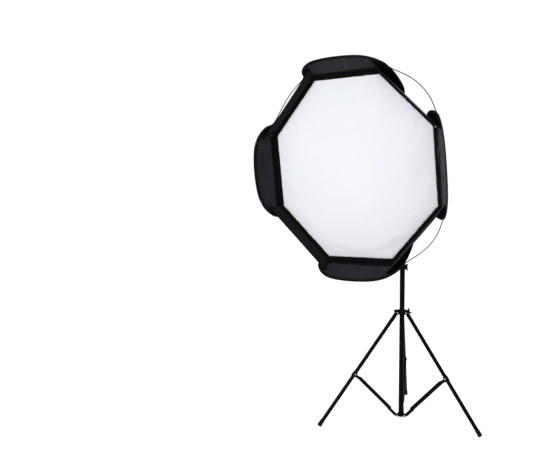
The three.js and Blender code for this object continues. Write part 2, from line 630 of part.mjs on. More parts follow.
function buildSoftbox(parent) {
  const softbox = frame(parent, [0, 0, 0], [0, 0, ROLL]);
  const sides = ["right", "top", "left", "bottom"];
  const corners = ["upper_right", "upper_left", "lower_left", "lower_right"];
  sides.forEach((side, i) => {
    const panel = panelFrame(softbox, degrees(90 * i));
    piece(`side_panel_${side}`, sidePanel(), BLACK_NYLON, panel);
    piece(`panel_hoop_${side}`, panelHoop(), SPRING_STEEL, panel);
    const corner = panelFrame(softbox, degrees(90 * i + 45));
    piece(`corner_panel_${corners[i]}`, cornerPanel(), BLACK_NYLON, corner);
  });
  piece("ring_hoop", ringHoop(), SPRING_STEEL, softbox);
  piece("front_diffuser", octagon(DIFFUSER_APOTHEM, 1), WHITE_NYLON, softbox);
  piece("diffuser_border", diffuserBorder(), LOOP_TAPE, softbox);
  piece("inner_diffuser", innerDiffuser(), WHITE_NYLON, frame(softbox, [0, 0, -150]));
  piece("speed_ring", speedRing(), BLACK_CASTING, softbox);
  piece("rear_collar", pipe(98.4, 97, RING_DEPTH + 7.5, RING_DEPTH + 22, 32), LOOP_TAPE, softbox);
}

const column = frame(softboxKit, [0, COLUMN_Y, 0]);
buildColumn(column);
buildLegs(column);
buildSoftbox(buildHead(column));

export default softboxKit;
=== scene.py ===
"""Looks for a pop-up octagonal softbox on its light stand. Metres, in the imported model's frame."""
import json
import math

import bpy
from mathutils import Matrix, Vector, noise
from mathutils.geometry import delaunay_2d_cdt


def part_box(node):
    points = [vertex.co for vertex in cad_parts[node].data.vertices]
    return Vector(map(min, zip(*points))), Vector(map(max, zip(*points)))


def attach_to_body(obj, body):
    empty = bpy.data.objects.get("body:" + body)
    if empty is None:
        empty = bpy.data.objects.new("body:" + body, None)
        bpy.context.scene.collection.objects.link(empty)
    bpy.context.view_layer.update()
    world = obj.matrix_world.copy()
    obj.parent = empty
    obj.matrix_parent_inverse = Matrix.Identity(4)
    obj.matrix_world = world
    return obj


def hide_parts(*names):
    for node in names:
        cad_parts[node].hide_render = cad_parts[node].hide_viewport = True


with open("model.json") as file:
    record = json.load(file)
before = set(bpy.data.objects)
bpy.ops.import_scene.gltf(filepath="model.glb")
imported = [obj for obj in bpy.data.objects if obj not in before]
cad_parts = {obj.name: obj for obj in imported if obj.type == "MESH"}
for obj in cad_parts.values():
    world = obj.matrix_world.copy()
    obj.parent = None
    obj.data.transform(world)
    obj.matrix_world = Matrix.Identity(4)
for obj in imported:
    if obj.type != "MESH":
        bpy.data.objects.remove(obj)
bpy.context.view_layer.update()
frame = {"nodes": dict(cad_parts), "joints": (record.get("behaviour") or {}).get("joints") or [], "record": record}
nodes = frame["nodes"]
joints = {joint["name"]: joint for joint in frame["joints"]}

# ------------------------------------------------------------------ driving dimensions

EIGHTH = math.radians(22.5)
PANEL_SLOPE = math.radians(50.2)  # between a side panel and the diffuser's plane
PANEL_APOTHEM = 0.417  # where the side panels cross the diffuser's plane
PANEL_REAR = -0.494  # slant distances are measured forwards from the diffuser's plane
LIP_FOOT = -0.0062  # slant distance where a corner panel's upright front lip starts
LIP_HEIGHT = 0.060
LIP_SLOPE = math.radians(70.6)
LIP_SAG = 0.007  # how far the lips' front edges hang down
OVAL_CENTRE = -0.067  # slant distance of the middle of a wing's oval
OVAL_HALF_WIDTH = 0.230
OVAL_HALF_LENGTH = 0.179
OVAL_POWER = 2.75  # squareness of the oval: 2 is an ellipse
GATHER_HEIGHT = 0.0042  # of the fabric's folds along the oval's rim
GATHER_REACH = 0.05
BILLOW_HEIGHT = 0.0028
PLEAT_HEIGHT = 0.0019  # of the finer folds on the part of a wing in front of the diffuser
LINING_START = -0.004  # the silver lining is behind this distance from the diffuser's plane
FABRIC = 0.0007  # thickness of the coated fabric
DIFFUSER_APOTHEM = 0.400
BAFFLE_APOTHEM = 0.235
SHADED_EAR_EDGE = 0.166  # the ears outside this half-width are painted dark inside, as painted shade for their recesses behind the corner lips
FOOT_TAPE_AND_SHADE = {"right": 0.010, "top": 0.021, "left": 0.023, "bottom": 0.022}  # how far up a wing its dark foot strip goes: the black tape, carried on as painted shade where the wing meets the border
BOW_RADIUS = 0.474  # of the ring wire where it bows out between two wings
BOW_SPREAD = [0.004, 0.008, 0.0, 0.002]  # added to it from the upper right corner on, turning left
BOW_DEPTH = -0.030
BOW_ROUNDING = 0.103  # how fast it comes back in, and up, on both sides of the middle of its bow
BOW_RISE = 0.2
WIRE_RADIUS = 0.0021
CLOTH_FRAMES = 24
RIVET_HALF_LENGTHS = {"leg_pin": 0.0073, "hub_pin": 0.0127, "brace_pin": 0.0127}
SKY_LIGHT = 0.5
SKY_SEEN = 1.05  # its strength where the camera sees it
FLOOR_GLOW = 0.62
FLOOR_HALF_SIZE = 30.0
CAMERA_PLACE = (1.9216, -3.4752, 1.2403)
CAMERA_YAW = math.radians(37.12)
CAMERA_PITCH = math.radians(-3.93)
CAMERA_LENS = 53.67
SIDES = ["right", "top", "left", "bottom"]
CORNERS = ["upper_right", "upper_left", "lower_left", "lower_right"]


def centroid(name):
    vertices = nodes[name].data.vertices
    return sum((v.co for v in vertices), Vector()) / len(vertices)


def softbox_frame():
    """The softbox's own frame: x to its right, y up, z forwards, origin in the diffuser's centre."""
    low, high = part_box("front_diffuser")
    forwards = Vector(joints["softbox_turn"]["axis"]).normalized()
    right = centroid("side_panel_right") - centroid("side_panel_left")
    right = (right - right.dot(forwards) * forwards).normalized()
    up = forwards.cross(right)
    return Matrix.Translation((low + high) / 2) @ Matrix((right, up, forwards)).transposed().to_4x4()


SOFTBOX = softbox_frame()

# ------------------------------------------------------------------ materials


class Shader:
    """A material built from nodes around its Principled BSDF."""

    def __init__(self, name, roughness, metallic=0.0, specular=0.15):
        self.material = bpy.data.materials.new(name)
        self.material.use_nodes = True
        self.tree = self.material.node_tree
        self.surface = self.tree.nodes["Principled BSDF"]
        self.coordinates = self.add("TexCoord").outputs["Object"]
        self.put(self.surface, "Roughness", roughness)
        self.put(self.surface, "Metallic", metallic)
        self.put(self.surface, "Specular IOR Level", specular)

    def put(self, node, name, value):
        if isinstance(value, bpy.types.NodeSocket):
            self.tree.links.new(value, node.inputs[name])
        else:
            node.inputs[name].default_value = value

    def add(self, kind, inputs=None, **settings):
        node = self.tree.nodes.new("ShaderNode" + kind)
        for name, value in settings.items():
            setattr(node, name, value)
        for name, value in (inputs or {}).items():
            self.put(node, name, value)
        return node

    def noise(self, scale, detail=3.0, stretch=(1, 1, 1)):
        mapping = self.add("Mapping", {"Vector": self.coordinates, "Scale": stretch})
        inputs = {"Vector": mapping.outputs["Vector"], "Scale": scale, "Detail": detail}
        return self.add("TexNoise", inputs).outputs["Fac"]

    def waves(self, scale, direction, distortion=0.5):
        inputs = {"Vector": self.coordinates, "Scale": scale, "Distortion": distortion}
        return self.add("TexWave", inputs, bands_direction=direction).outputs["Fac"]

    def maths(self, operation, first, second):
        return self.add("Math", {0: first, 1: second}, operation=operation).outputs["Value"]

    def ramp(self, factor, low, high, start=0.3, end=0.7):
        """A colour between low and high as factor goes from start to end."""
        node = self.add("ValToRGB", {"Fac": factor})
        for element, place, colour in zip(node.color_ramp.elements, (start, end), (low, high)):
            element.position = place
            element.color = (*colour, 1)
        return node.outputs["Color"]

    def span(self, factor, low, high):
        return self.add("MapRange", {"Value": factor, "To Min": low, "To Max": high}).outputs["Result"]

    def blend(self, factor, first, second):
        """The first colour where factor is 0, and the second where it is 1."""
        node = self.add("Mix", {0: factor, 6: first, 7: second}, data_type="RGBA")
        return node.outputs[2]

    def bump(self, height, depth, strength=0.5, under=None):
        inputs = {"Height": height, "Distance": depth, "Strength": strength}
        if under:
            inputs["Normal"] = under
        normal = self.add("Bump", inputs).outputs["Normal"]
        self.put(self.surface, "Normal", normal)
        return normal

    def colour(self, value):
        self.put(self.surface, "Base Color", value)


def weave(shader, threads_per_metre, depth, strength=0.5):
    """A plain weave's bump, from two crossed wave textures over a little cloth noise."""
    scale = threads_per_metre / 20
    threads = shader.maths("MULTIPLY", shader.waves(scale, "X"), shader.waves(scale, "Y"))
    cloth = shader.bump(shader.noise(60, 4), 0.0006, 0.35)
    shader.bump(threads, depth, strength, cloth)


def black_nylon():
    shader = Shader("black_nylon", 0.62, specular=0.1)
    shader.colour(shader.ramp(shader.noise(9, 5), (0.0032, 0.0032, 0.0040), (0.0066, 0.0066, 0.0082)))
    shader.put(shader.surface, "Roughness", shader.span(shader.noise(35, 3), 0.5, 0.72))
    shader.put(shader.surface, "Sheen Weight", 0.03)
    weave(shader, 2200, 0.0002)
    return shader.material


def navy_lining():
    """The wings' inner faces: coated nylon, a little lighter and bluer than the shell."""
    shader = Shader("navy_lining", 0.5)
    shader.colour(shader.ramp(shader.noise(14, 5), (0.0076, 0.0070, 0.0116), (0.0128, 0.0120, 0.0184)))
    shader.put(shader.surface, "Roughness", shader.span(shader.noise(50, 3), 0.42, 0.6))
    shader.put(shader.surface, "Sheen Weight", 0.03)
    weave(shader, 2200, 0.0002)
    return shader.material


def painted_ear_shade():
    # Painted shade: a near-black fabric for the wings' ears, in place of the shade that falls in their recesses.
    shader = Shader("painted_ear_shade", 0.85, specular=0.04)
    shader.colour(shader.ramp(shader.noise(30, 4), (0.0018, 0.0018, 0.002), (0.0042, 0.0042, 0.0045)))
    weave(shader, 1100, 0.0004)
    return shader.material


def silver_lining():
    shader = Shader("silver_lining", 0.35, 0.85)
    shader.colour(shader.ramp(shader.noise(20, 4), (0.5, 0.5, 0.52), (0.72, 0.72, 0.74)))
    shader.put(shader.surface, "Roughness", shader.span(shader.noise(90, 4), 0.25, 0.5))
    cells = shader.add("TexVoronoi", {"Vector": shader.coordinates, "Scale": 350.0}).outputs["Distance"]
    shader.bump(cells, 0.0006, 0.6)
    return shader.material


def white_nylon():
    shader = Shader("white_nylon", 0.6)
    # Painted light: the white is brighter in the middle and darker towards the edge, a painted falloff of the
    # light across the front.
    middle = shader.ramp(shader.noise(4, 3), (0.975, 0.905, 0.93), (0.99, 0.92, 0.945))
    edge = shader.ramp(shader.noise(4, 3), (0.885, 0.832, 0.86), (0.905, 0.852, 0.88))
    radius = shader.add("VectorMath", {0: shader.coordinates}, operation="LENGTH").outputs["Value"]
    shader.colour(shader.blend(shader.span(radius, 0.0, 2.2), middle, edge))
    shader.put(shader.surface, "Subsurface Weight", 0.15)
    shader.put(shader.surface, "Subsurface Scale", 0.01)
    weave(shader, 2600, 0.00015, 0.35)
    return shader.material


def loop_tape():
    """The pile side of hook-and-loop tape: very dark, with short fuzz."""
    shader = Shader("loop_tape", 0.95, specular=0.04)
    shader.colour(shader.ramp(shader.noise(260, 5), (0.0012, 0.0012, 0.0016), (0.0048, 0.0048, 0.006)))
    shader.put(shader.surface, "Sheen Weight", 0.03)
    shader.bump(shader.noise(900, 4), 0.0009, 0.8)
    return shader.material


def binding_tape():
    """Ribbed binding tape."""
    shader = Shader("binding_tape", 0.78, specular=0.06)
    shader.colour(shader.ramp(shader.noise(120, 4), (0.0022, 0.0022, 0.0026), (0.006, 0.006, 0.0068)))
    shader.put(shader.surface, "Sheen Weight", 0.02)
    shader.bump(shader.waves(60, "DIAGONAL", 0.8), 0.0003, 0.6)
    return shader.material


def white_thread():
    shader = Shader("white_thread", 0.7)
    shader.colour(shader.ramp(shader.noise(800, 3), (0.6, 0.6, 0.6), (0.8, 0.8, 0.8)))
    shader.bump(shader.waves(160, "DIAGONAL"), 0.0002, 0.6)
    return shader.material


def black_tube():
    """Anodised tube: glossy black, with faint drawing lines along it and light rub marks."""
    shader = Shader("black_tube", 0.32, specular=0.06)
    shader.colour(shader.ramp(shader.noise(22, 6), (0.0012, 0.0012, 0.0013), (0.0028, 0.0028, 0.003)))
    lines = shader.noise(240, 4, (1, 1, 0.04))
    shader.put(shader.surface, "Roughness", shader.span(lines, 0.22, 0.42))
    shader.bump(lines, 0.0001, 0.3)
    return shader.material


def powder_coat():
    shader = Shader("powder_coat", 0.5, specular=0.08)
    shader.colour(shader.ramp(shader.noise(60, 4), (0.0016, 0.0016, 0.0017), (0.0034, 0.0034, 0.0036)))
    shader.put(shader.surface, "Roughness", shader.span(shader.noise(300, 3), 0.42, 0.62))
    shader.bump(shader.noise(900, 3), 0.0003, 0.4)
    return shader.material


def black_plastic():
    shader = Shader("black_plastic", 0.55, specular=0.08)
    shader.colour(shader.ramp(shader.noise(40, 4), (0.0016, 0.0016, 0.0017), (0.0034, 0.0034, 0.0036)))
    shader.put(shader.surface, "Roughness", shader.span(shader.noise(500, 4), 0.4, 0.62))
    shader.bump(shader.noise(1400, 2), 0.0002, 0.4)
    return shader.material


def bright_zinc():
    shader = Shader("bright_zinc", 0.28, 1.0, 0.5)
    shader.colour(shader.ramp(shader.noise(90, 5), (0.55, 0.56, 0.58), (0.78, 0.78, 0.79)))
    shader.put(shader.surface, "Roughness", shader.span(shader.noise(400, 4, (1, 1, 0.1)), 0.18, 0.42))
    shader.bump(shader.noise(1500, 2), 0.0001, 0.3)
    return shader.material


def spring_steel():
    shader = Shader("spring_steel", 0.4, 0.5)
    shader.colour(shader.ramp(shader.noise(70, 4), (0.006, 0.006, 0.0065), (0.02, 0.02, 0.021)))
    shader.bump(shader.noise(900, 3), 0.0001, 0.3)
    return shader.material


def rubber():
    shader = Shader("rubber", 0.8)
    shader.colour(shader.ramp(shader.noise(80, 5), (0.003, 0.003, 0.003), (0.007, 0.007, 0.007)))
    shader.bump(shader.noise(700, 4), 0.0004, 0.5)
    return shader.material


def studio_floor():
    """A white floor, lit a little from within so that it fades into the white surround."""
    shader = Shader("studio_floor", 0.9)
    shader.colour(shader.ramp(shader.noise(1.5, 2), (0.93, 0.93, 0.93), (0.95, 0.95, 0.95)))
    seen = shader.add("LightPath").outputs["Is Camera Ray"]
    shader.put(shader.surface, "Emission Color", (1, 1, 1, 1))
    shader.put(shader.surface, "Emission Strength", shader.span(seen, 0.0, FLOOR_GLOW))
    return shader.material


NYLON = black_nylon()
NAVY = navy_lining()
EAR_SHADE = painted_ear_shade()
SILVER = silver_lining()
WHITE = white_nylon()
LOOP = loop_tape()
BINDING = binding_tape()
THREAD = white_thread()
TUBE = black_tube()
CASTING = powder_coat()
PLASTIC = black_plastic()
ZINC = bright_zinc()
SPRING = spring_steel()
RUBBER = rubber()

# ------------------------------------------------------------------ mesh tools


def add_object(name, points, faces, materials, place=SOFTBOX):
    """A smooth-shaded mesh object, standing at place."""
    mesh = bpy.data.meshes.new(name)
    mesh.from_pydata([tuple(p) for p in points], [], faces)
    mesh.update()
    for material in materials:
        mesh.materials.append(material)
    mesh.polygons.foreach_set("use_smooth", [True] * len(mesh.polygons))
    made = bpy.data.objects.new(name, mesh)
    bpy.context.scene.collection.objects.link(made)
    made.matrix_world = place
    return made


def attach(piece, body, slot, *replaced):
    """The piece rides on a body and stands for CAD nodes, which it hides; slot is not used."""
    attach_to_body(piece, body)
    if replaced:
        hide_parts(*replaced)


def solidify(piece, thickness, material_offset=0):
    modifier = piece.modifiers.new("thickness", "SOLIDIFY")
    modifier.thickness = thickness
    modifier.offset = -1
    modifier.material_offset = material_offset
    modifier.material_offset_rim = material_offset


def grid_faces(rows, columns):
    """The quads of an open grid whose points are listed row by row."""
    width = columns + 1
    faces = []
    for i in range(rows):
        for k in range(columns):
            a = i * width + k
            faces.append((a, a + width, a + width + 1, a + 1))
    return faces


def hoop_faces(count, size):
    """The quads of a closed hoop with count cross-sections of size points each."""
    faces = []
    for i in range(count):
        j = (i + 1) % count
        for k in range(size):
            m = (k + 1) % size
            faces.append((i * size + k, j * size + k, j * size + m, i * size + m))
    return faces


def segment_distance(point, start, end):
    along = end - start
    share = max(0.0, min(1.0, (point - start).dot(along) / max(along.length_squared, 1e-12)))
    return (point - start - share * along).length


def is_inside(point, outline):
    inside = False
    for start, end in zip(outline, outline[1:] + outline[:1]):
        if (start.y > point.y) != (end.y > point.y):
            crossing = start.x + (point.y - start.y) * (end.x - start.x) / (end.y - start.y)
            if point.x < crossing:
                inside = not inside
    return inside


def fill(outline, spacing, creases=()):
    """Points and triangles that fill a flat outline, with edges along its creases."""
    outline = [Vector(p) for p in outline]
    points = list(outline)
    edges = []
    for crease in creases:
        edges += [(len(points) + i, len(points) + i + 1) for i in range(len(crease) - 1)]
        points += [Vector(p) for p in crease]
    lines = list(zip(outline, outline[1:] + outline[:1]))
    lines += [(points[a], points[b]) for a, b in edges]
    low = Vector((min(p.x for p in outline), min(p.y for p in outline)))
    high = Vector((max(p.x for p in outline), max(p.y for p in outline)))
    rise = spacing * math.sqrt(3) / 2
    margin = 0.45 * spacing
    for row in range(int((high.y - low.y) / rise) + 1):
        shift = spacing / 2 * (row % 2)
        for column in range(int((high.x - low.x) / spacing) + 1):
            point = Vector((low.x + shift + column * spacing, low.y + row * rise))
            if not is_inside(point, outline):
                continue
            if min(segment_distance(point, a, b) for a, b in lines) > margin:
                points.append(point)
    inside_outline = 1
    result = delaunay_2d_cdt(points, edges, [list(range(len(outline)))], inside_outline, 1e-7)
    return result[0], [list(f) for f in result[2]]


def tube(name, path, radii, materials, closed=False, ring=10, up=Vector((0, 0, 1))):
    """A solid rod along a path, with an oval section of radii (across, up), fixed or given by point."""
    path = [Vector(p) for p in path]
    count = len(path)
    points = []
    for i, centre in enumerate(path):
        before = path[i - 1] if closed or i else path[i]
        after = path[(i + 1) % count] if closed or i < count - 1 else path[i]
        along = (after - before).normalized()
        across = along.cross(up).normalized()
        upward = across.cross(along).normalized()
        wide, high = radii(i) if callable(radii) else radii
        for k in range(ring):
            angle = 2 * math.pi * k / ring
            points.append(centre + across * wide * math.cos(angle) + upward * high * math.sin(angle))
    faces = []
    for i in range(count if closed else count - 1):
        j = (i + 1) % count
        for k in range(ring):
            m = (k + 1) % ring
            faces.append((i * ring + k, i * ring + m, j * ring + m, j * ring + k))
    if not closed:
        faces.append(tuple(reversed(range(ring))))
        faces.append(tuple((count - 1) * ring + k for k in range(ring)))
    return add_object(name, points, faces, materials)


def lathe(name, outline, materials, place, sides):
    """A closed (radius, height) outline turned about the place's z axis."""
    points = []
    for k in range(sides):
        angle = 2 * math.pi * k / sides
        points += [(r * math.cos(angle), r * math.sin(angle), z) for r, z in outline]
    return add_object(name, points, hoop_faces(sides, len(outline)), materials, place)


def weld(piece):
    modifier = piece.modifiers.new("weld", "WELD")
    modifier.merge_threshold = 1e-5


def soften(piece, width):
    """Rounds a piece's hard edges."""
    modifier = piece.modifiers.new("edges", "BEVEL")
    modifier.width = width
    modifier.segments = 2
    modifier.limit_method = "ANGLE"
    modifier.angle_limit = math.radians(38)
    piece.modifiers.new("shading", "WEIGHTED_NORMAL")


def drape(piece, is_pinned, slack, reach):
    """Settles a sheet as cloth with a little more fabric than its outline needs."""
    rest = [v.co.copy() for v in piece.data.vertices]
    group = piece.vertex_groups.new(name="pins")
    group.add([i for i, p in enumerate(rest) if is_pinned(p)], 1.0, "REPLACE")
    modifier = piece.modifiers.new("cloth", "CLOTH")
    settings = modifier.settings
    settings.vertex_group_mass = "pins"
    settings.quality = 6
    settings.mass = 0.1
    settings.tension_stiffness = 20
    settings.compression_stiffness = 12
    settings.bending_stiffness = 0.15
    settings.shrink_min = -slack
    settings.effector_weights.gravity = 0.25
    modifier.collision_settings.use_collision = False
    modifier.point_cache.frame_end = CLOTH_FRAMES
    for number in range(1, CLOTH_FRAMES + 1):
        bpy.context.scene.frame_set(number)
    settled = piece.evaluated_get(bpy.context.evaluated_depsgraph_get()).to_mesh()
    moved = [v.co.copy() for v in settled.vertices]
    piece.modifiers.remove(modifier)
    piece.vertex_groups.clear()
    bpy.context.scene.frame_set(1)
    for vertex, start, end in zip(piece.data.vertices, rest, moved):
        step = end - start
        vertex.co = start + step * min(1.0, reach / max(step.length, 1e-9))
    piece.data.update()


# ------------------------------------------------------------------ the softbox's surfaces


def on_panel(turn, across, slant, lift=0.0):
    """A point of the side panel at an angle; lift is towards the outside."""
    out = PANEL_APOTHEM + slant * math.cos(PANEL_SLOPE) + lift * math.sin(PANEL_SLOPE)
    depth = slant * math.sin(PANEL_SLOPE) - lift * math.cos(PANEL_SLOPE)
    return Matrix.Rotation(turn, 3, "Z") @ Vector((out, across, depth))


def outward(turn, slope):
    """The direction straight out of a panel at an angle."""
    return Matrix.Rotation(turn, 3, "Z") @ Vector((math.sin(slope), 0, -math.cos(slope)))


def seam_half_width(slant):
    """Half the width of a side panel between its seams."""
    return (PANEL_APOTHEM + slant * math.cos(PANEL_SLOPE)) * math.tan(EIGHTH)


def oval_point(angle, grow=0.0):
    """A point (across, slant) on a wing's rim; grow moves it outwards."""

    def ease(value):
        return math.copysign(abs(value) ** (2 / OVAL_POWER), value)

    across = (OVAL_HALF_WIDTH + grow) * ease(math.cos(angle))
    return Vector((across, OVAL_CENTRE + (OVAL_HALF_LENGTH + grow) * ease(math.sin(angle))))


def oval_level(across, slant):
    """0 in the oval's centre and 1 on its rim."""
    x = abs(across) / OVAL_HALF_WIDTH
    y = abs(slant - OVAL_CENTRE) / OVAL_HALF_LENGTH
    return (x**OVAL_POWER + y**OVAL_POWER) ** (1 / OVAL_POWER)


def side_outline():
    """Along the seams from the ring, then around the front of the oval."""
    right = []
    for degree in range(-88, 91, 2):
        point = oval_point(math.radians(degree))
        if point.y > OVAL_CENTRE or point.x > seam_half_width(point.y):
            right.append((point.x, point.y))
    seams = []
    steps = 24
    for i in range(steps):
        slant = PANEL_REAR + (right[0][1] - PANEL_REAR) * i / steps
        seams.append((seam_half_width(slant), slant))
    half = seams + right
    back = [(-x, y) for x, y in reversed(half[:-1])]
    rear = seam_half_width(PANEL_REAR)
    return half + back + [(rear * k / 4, PANEL_REAR) for k in (-3, -2, -1, 0, 1, 2, 3)]


def pucker(across, slant, seed):
    """How far the fabric stands out: gathers along the hoop, billows inside it, and pleats in front."""
    level = oval_level(across, slant)
    inset = (1 - level) * OVAL_HALF_LENGTH
    if inset < 0:
        return 0.0
    angle = math.atan2((slant - OVAL_CENTRE) / OVAL_HALF_LENGTH, across / OVAL_HALF_WIDTH)
    around = Vector((math.cos(angle) * 9, math.sin(angle) * 9, seed * 7.3))
    gathers = noise.noise(around * 2.2) + 0.6 * noise.noise(around * 4.7)
    clear_of_hoop = 1 - math.exp(-inset / 0.008)
    billow = noise.noise(Vector((across * 11, slant * 11, seed * 3.1)))
    pleats = noise.noise(Vector((across * 46, slant * 5, seed * 6.1)))
    folds = GATHER_HEIGHT * gathers * math.exp(-inset / GATHER_REACH) + BILLOW_HEIGHT * billow
    if slant > 0:
        folds += PLEAT_HEIGHT * pleats * min(1, slant / 0.02)
    return clear_of_hoop * folds


def ear_shade_creases():
    """The two lines across a wing where the painted shade on its ears begins."""
    creases = []
    step = 0.008
    slants = [step / 2 + step * k for k in range(11)]
    for across in (-SHADED_EAR_EDGE, SHADED_EAR_EDGE):
        creases.append([(across, slant) for slant in slants if oval_level(across, slant + step) < 1])
    return creases


def side_panel(side, turn, seed):
    """One winged side: navy inside the wing, painted shade on its ears' inner faces, silver behind the diffuser.
    """
    flat, faces = fill(side_outline(), 0.0085, ear_shade_creases())
    points = [on_panel(turn, p.x, p.y, pucker(p.x, p.y, seed)) for p in flat]
    wing, ear, rear = 0, 1, 2
    materials = [NYLON, NYLON, NYLON, NAVY, EAR_SHADE, SILVER]  # outside, then inside, for each of the three
    piece = add_object(f"side_panel_cloth_{side}", points, faces, materials)
    for polygon in piece.data.polygons:
        middle = sum((flat[i] for i in polygon.vertices), Vector((0, 0))) / 3
        # The ears' inner faces take the painted ear shade.
        if abs(middle.x) > SHADED_EAR_EDGE and middle.y > 0 or abs(middle.x) > seam_half_width(middle.y):
            polygon.material_index = ear
        elif middle.y < LINING_START:
            polygon.material_index = rear
        else:
            polygon.material_index = wing
    solidify(piece, FABRIC, 3)
    attach(piece, "softbox", "black_nylon", f"side_panel_{side}")


def panel_binding(side, turn, seed):
    """The bound edge around a wing's oval, with the spring hoop inside it."""
    count = 150
    wide, high = 0.0062, 0.0033

    def radii(i):
        ripple = noise.noise(Vector((i * 0.55, seed * 5.0, 0)))
        return wide + 0.0004 * ripple, high + 0.0003 * ripple

    path = []
    for i in range(count):
        point = oval_point(2 * math.pi * i / count, -0.0058)
        path.append(on_panel(turn, point.x, point.y, 0.0006))
    up = outward(turn, PANEL_SLOPE)
    piece = tube(f"panel_binding_{side}", path, radii, [BINDING], True, 12, up)
    attach(piece, "softbox", "binding_tape", f"panel_hoop_{side}")


def corner_place(run):
    """A corner panel's distance from the axis, and its depth; past its lip's foot it turns upright."""
    sheet = min(run, LIP_FOOT)
    rise = max(run - LIP_FOOT, 0.0)
    out = PANEL_APOTHEM + sheet * math.cos(PANEL_SLOPE) + rise * math.cos(LIP_SLOPE)
    return out, sheet * math.sin(PANEL_SLOPE) + rise * math.sin(LIP_SLOPE)


def corner_point(turn, across, run, lift=0.0):
    """A point of a corner panel; lift is towards the outside."""
    slope = LIP_SLOPE if run > LIP_FOOT else PANEL_SLOPE
    out, depth = corner_place(run)
    rise = max(run - LIP_FOOT, 0.0) / LIP_HEIGHT
    local = Vector((out + lift * math.sin(slope), across, depth - lift * math.cos(slope)))
    middle = 1 - min(1.0, abs(across) / corner_half_width(run)) ** 4
    placed = Matrix.Rotation(turn, 3, "Z") @ local
    return placed - Vector((0, LIP_SAG * rise * middle, 0))


def corner_half_width(run):
    """Half the width of a corner panel, whose lip spreads to meet the wings on both sides."""
    out, depth = corner_place(run)
    wing = PANEL_APOTHEM + depth / math.tan(PANEL_SLOPE)
    return math.sqrt(2) * wing - out


def lip_edge(v):
    """How far a lip's front edge is from the diffuser's plane, at a share v of its half-width."""
    return LIP_FOOT + LIP_HEIGHT - 0.0005 - 0.0020 * (1 - v * v)


def corner_panel(corner, turn, seed):
    """A narrow panel between two wings, a little hollow, with its upright lip in front."""
    rows, lip_rows, columns = 60, 7, 20
    points = []
    for i in range(rows + lip_rows + 1):
        for k in range(columns + 1):
            v = 2 * k / columns - 1
            run = PANEL_REAR + (LIP_FOOT - PANEL_REAR) * min(1, i / rows)
            if i > rows:
                run += (lip_edge(v) - LIP_FOOT) * (i - rows) / lip_rows
            across = (corner_half_width(run) - 0.0016) * v
            hollow = -0.007 * math.sin(math.pi * min(1, i / rows)) * (1 - v * v)
            if i > rows:
                hollow = -0.0022 * math.sin(math.pi * 0.6 * (i - rows) / lip_rows) * (1 - v * v)
            crumple = noise.noise(Vector((across * 16, run * 16, seed * 4.4))) * (1 - v**4)
            lift = hollow + 0.0026 * crumple * min(1, abs(run - LIP_FOOT) / 0.03)
            points.append(corner_point(turn, across, run, lift))
    faces = grid_faces(rows + lip_rows, columns)
    materials = [NYLON, SILVER, NYLON, NYLON]  # inside the lip, inside behind it, then outside
    piece = add_object(f"corner_panel_cloth_{corner}", points, faces, materials)
    for polygon in piece.data.polygons:
        if polygon.center.z < LINING_START:
            polygon.material_index = 1
    solidify(piece, FABRIC, 2)
    attach(piece, "softbox", "black_nylon", f"corner_panel_{corner}")


def corner_hem(corner, turn, seed):
    """The bound front edge of a corner panel's lip."""
    count = 40
    path = []
    for i in range(count + 1):
        v = 2 * i / count - 1
        run = lip_edge(v) - 0.0045
        wave = 0.0007 * noise.noise(Vector((v * 9, seed * 2.7, 0)))
        path.append(corner_point(turn, (corner_half_width(run) - 0.003) * v, run, wave))
    piece = tube(f"corner_hem_{corner}", path, (0.005, 0.0018), [BINDING], up=outward(turn, LIP_SLOPE))
    attach(piece, "softbox", "binding_tape")


def foot_tape_and_shade(side, turn, seed):
    """The black tape sewn along a wing's foot, inside, which follows the fabric's puckers; above the real tape it
    is painted shade where the wing meets the border.
    """
    rows, columns = 5, 90
    foot = 0.002
    half = SHADED_EAR_EDGE + 0.004
    points = []
    for i in range(rows + 1):
        for k in range(columns + 1):
            across = half * (2 * k / columns - 1)
            uneven = 0.0030 * noise.noise(Vector((across * 14, seed * 3.3, 0)))
            # Its height on each side follows the painted shade at that wing's foot.
            slant = foot + (FOOT_TAPE_AND_SHADE[side] + uneven - foot) * i / rows
            points.append(on_panel(turn, across, slant, pucker(across, slant, seed) - 0.0013))
    piece = add_object(f"foot_tape_and_shade_{side}", points, grid_faces(rows, columns), [LOOP])
    solidify(piece, 0.0009)
    attach(piece, "softbox", "binding_tape")


def seam_cords():
    """The stitched seams between the panels, as flat cords on the outside."""
    wide, high = 0.0032, 0.0016
    count = 40
    start = PANEL_REAR + 0.01
    for index in range(8):
        turn = math.radians(90 * (index // 2))
        way = 1 if index % 2 else -1
        path = []
        for i in range(count + 1):
            slant = start + (LIP_FOOT - start) * i / count
            path.append(on_panel(turn, way * seam_half_width(slant), slant, high))
        up = outward(turn, PANEL_SLOPE)
        piece = tube(f"seam_cord_{index + 1}", path, (wide, high), [BINDING], ring=8, up=up)
        attach(piece, "softbox", "binding_tape")


def octagon_radius(apothem, angle):
    """Distance to an octagon's edge; a flat faces angle 0."""
    off = (angle + EIGHTH) % (2 * EIGHTH) - EIGHTH
    return apothem / math.cos(off)


